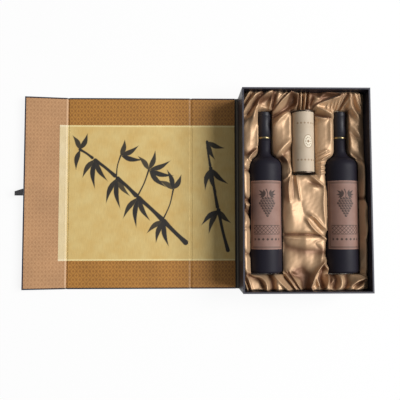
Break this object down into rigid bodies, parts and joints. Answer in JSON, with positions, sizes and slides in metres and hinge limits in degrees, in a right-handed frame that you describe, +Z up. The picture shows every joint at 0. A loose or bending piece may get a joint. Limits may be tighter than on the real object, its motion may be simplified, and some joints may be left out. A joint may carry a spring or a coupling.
{
  "type": "wine gift box",
  "caption": "Rigid board gift box lying open: satin-lined tray with wine bottles and an accessory tube, and a folding wrap-over cover with spine, lid and flap.",
  "frame": {"origin": "on the table under the middle of the tray", "axes": "+X from the cover towards the tray, +Y towards the bottle necks, +Z up out of the tray"},
  "size_m": [0.6619, 0.372, 0.086],
  "materials": {
    "greyboard": "matte",
    "wrap_paper": "satin",
    "brocade": "satin",
    "scroll_silk": "satin",
    "hinge_cloth": "matte",
    "magnet": "polished",
    "ribbon": "satin",
    "foam": "matte",
    "satin": "satin",
    "bottle_glass": "satin",
    "cork": "matte",
    "capsule": "satin",
    "label_paper": "matte",
    "tube_board": "matte",
    "tube_metal": "satin"
  },
  "bodies": {
    "tray": {"base_board": "greyboard", "base_wrap": "wrap_paper", "spine_hinge_cloth": "hinge_cloth", "tray_floor_board": "greyboard", "tray_head_wall": "greyboard", "tray_foot_wall": "greyboard", "tray_left_wall": "greyboard", "tray_right_wall": "greyboard", "tray_wrap": "wrap_paper", "tray_magnets": "magnet", "insert_base_pad": "foam", "insert_cradle": "foam", "satin_lining": "satin"},
    "spine": {"spine_board": "greyboard", "spine_wrap": "wrap_paper", "spine_lining": "brocade", "spine_scroll_sheet": "scroll_silk", "lid_hinge_cloth": "hinge_cloth"},
    "lid": {"lid_board": "greyboard", "lid_wrap": "wrap_paper", "lid_lining": "brocade", "lid_scroll_sheet": "scroll_silk", "flap_hinge_cloth": "hinge_cloth"},
    "flap": {"flap_board": "greyboard", "flap_wrap": "wrap_paper", "flap_lining": "brocade", "flap_scroll_sheet": "scroll_silk", "flap_magnets": "magnet", "pull_tab_tail": "ribbon"},
    "pull_tab": {"pull_tab": "ribbon"},
    "left_bottle": {"left_bottle_glass": "bottle_glass", "left_bottle_cork": "cork", "left_bottle_capsule": "capsule", "left_bottle_label": "label_paper"},
    "right_bottle": {"right_bottle_glass": "bottle_glass", "right_bottle_cork": "cork", "right_bottle_capsule": "capsule", "right_bottle_label": "label_paper"},
    "accessory_tube": {"tube_wall": "tube_board", "tube_top_end": "tube_metal", "tube_foot_end": "tube_metal"}
  },
  "joints": [
    {"name": "spine_hinge", "type": "hinge", "parent": "tray", "child": "spine", "pos_m": [-0.11985, 0, 0.00025], "axis": [0, -1, 0], "range_deg": [-90, 0], "deforming": ["spine_hinge_cloth"]},
    {"name": "lid_hinge", "type": "hinge", "parent": "spine", "child": "lid", "pos_m": [-0.20895, 0, 0.00025], "axis": [0, -1, 0], "range_deg": [-90, 0], "deforming": ["lid_hinge_cloth"]},
    {"name": "flap_hinge", "type": "hinge", "parent": "lid", "child": "flap", "pos_m": [-0.44865, 0, 0.00025], "axis": [0, -1, 0], "range_deg": [-82, 8], "deforming": ["flap_hinge_cloth"]},
    {"name": "tab_fold", "type": "hinge", "parent": "flap", "child": "pull_tab", "pos_m": [-0.53098, 0, 0.01369], "axis": [0, 1, 0], "range_deg": [-70, 90]},
    {"name": "left_bottle_lift", "type": "slide", "parent": "tray", "child": "left_bottle", "axis": [0, 0, 1], "range_m": [0, 0.1]},
    {"name": "right_bottle_lift", "type": "slide", "parent": "tray", "child": "right_bottle", "axis": [0, 0, 1], "range_m": [0, 0.1]},
    {"name": "tube_lift", "type": "slide", "parent": "tray", "child": "accessory_tube", "axis": [0, 0, 1], "range_m": [0, 0.1]}
  ]
}
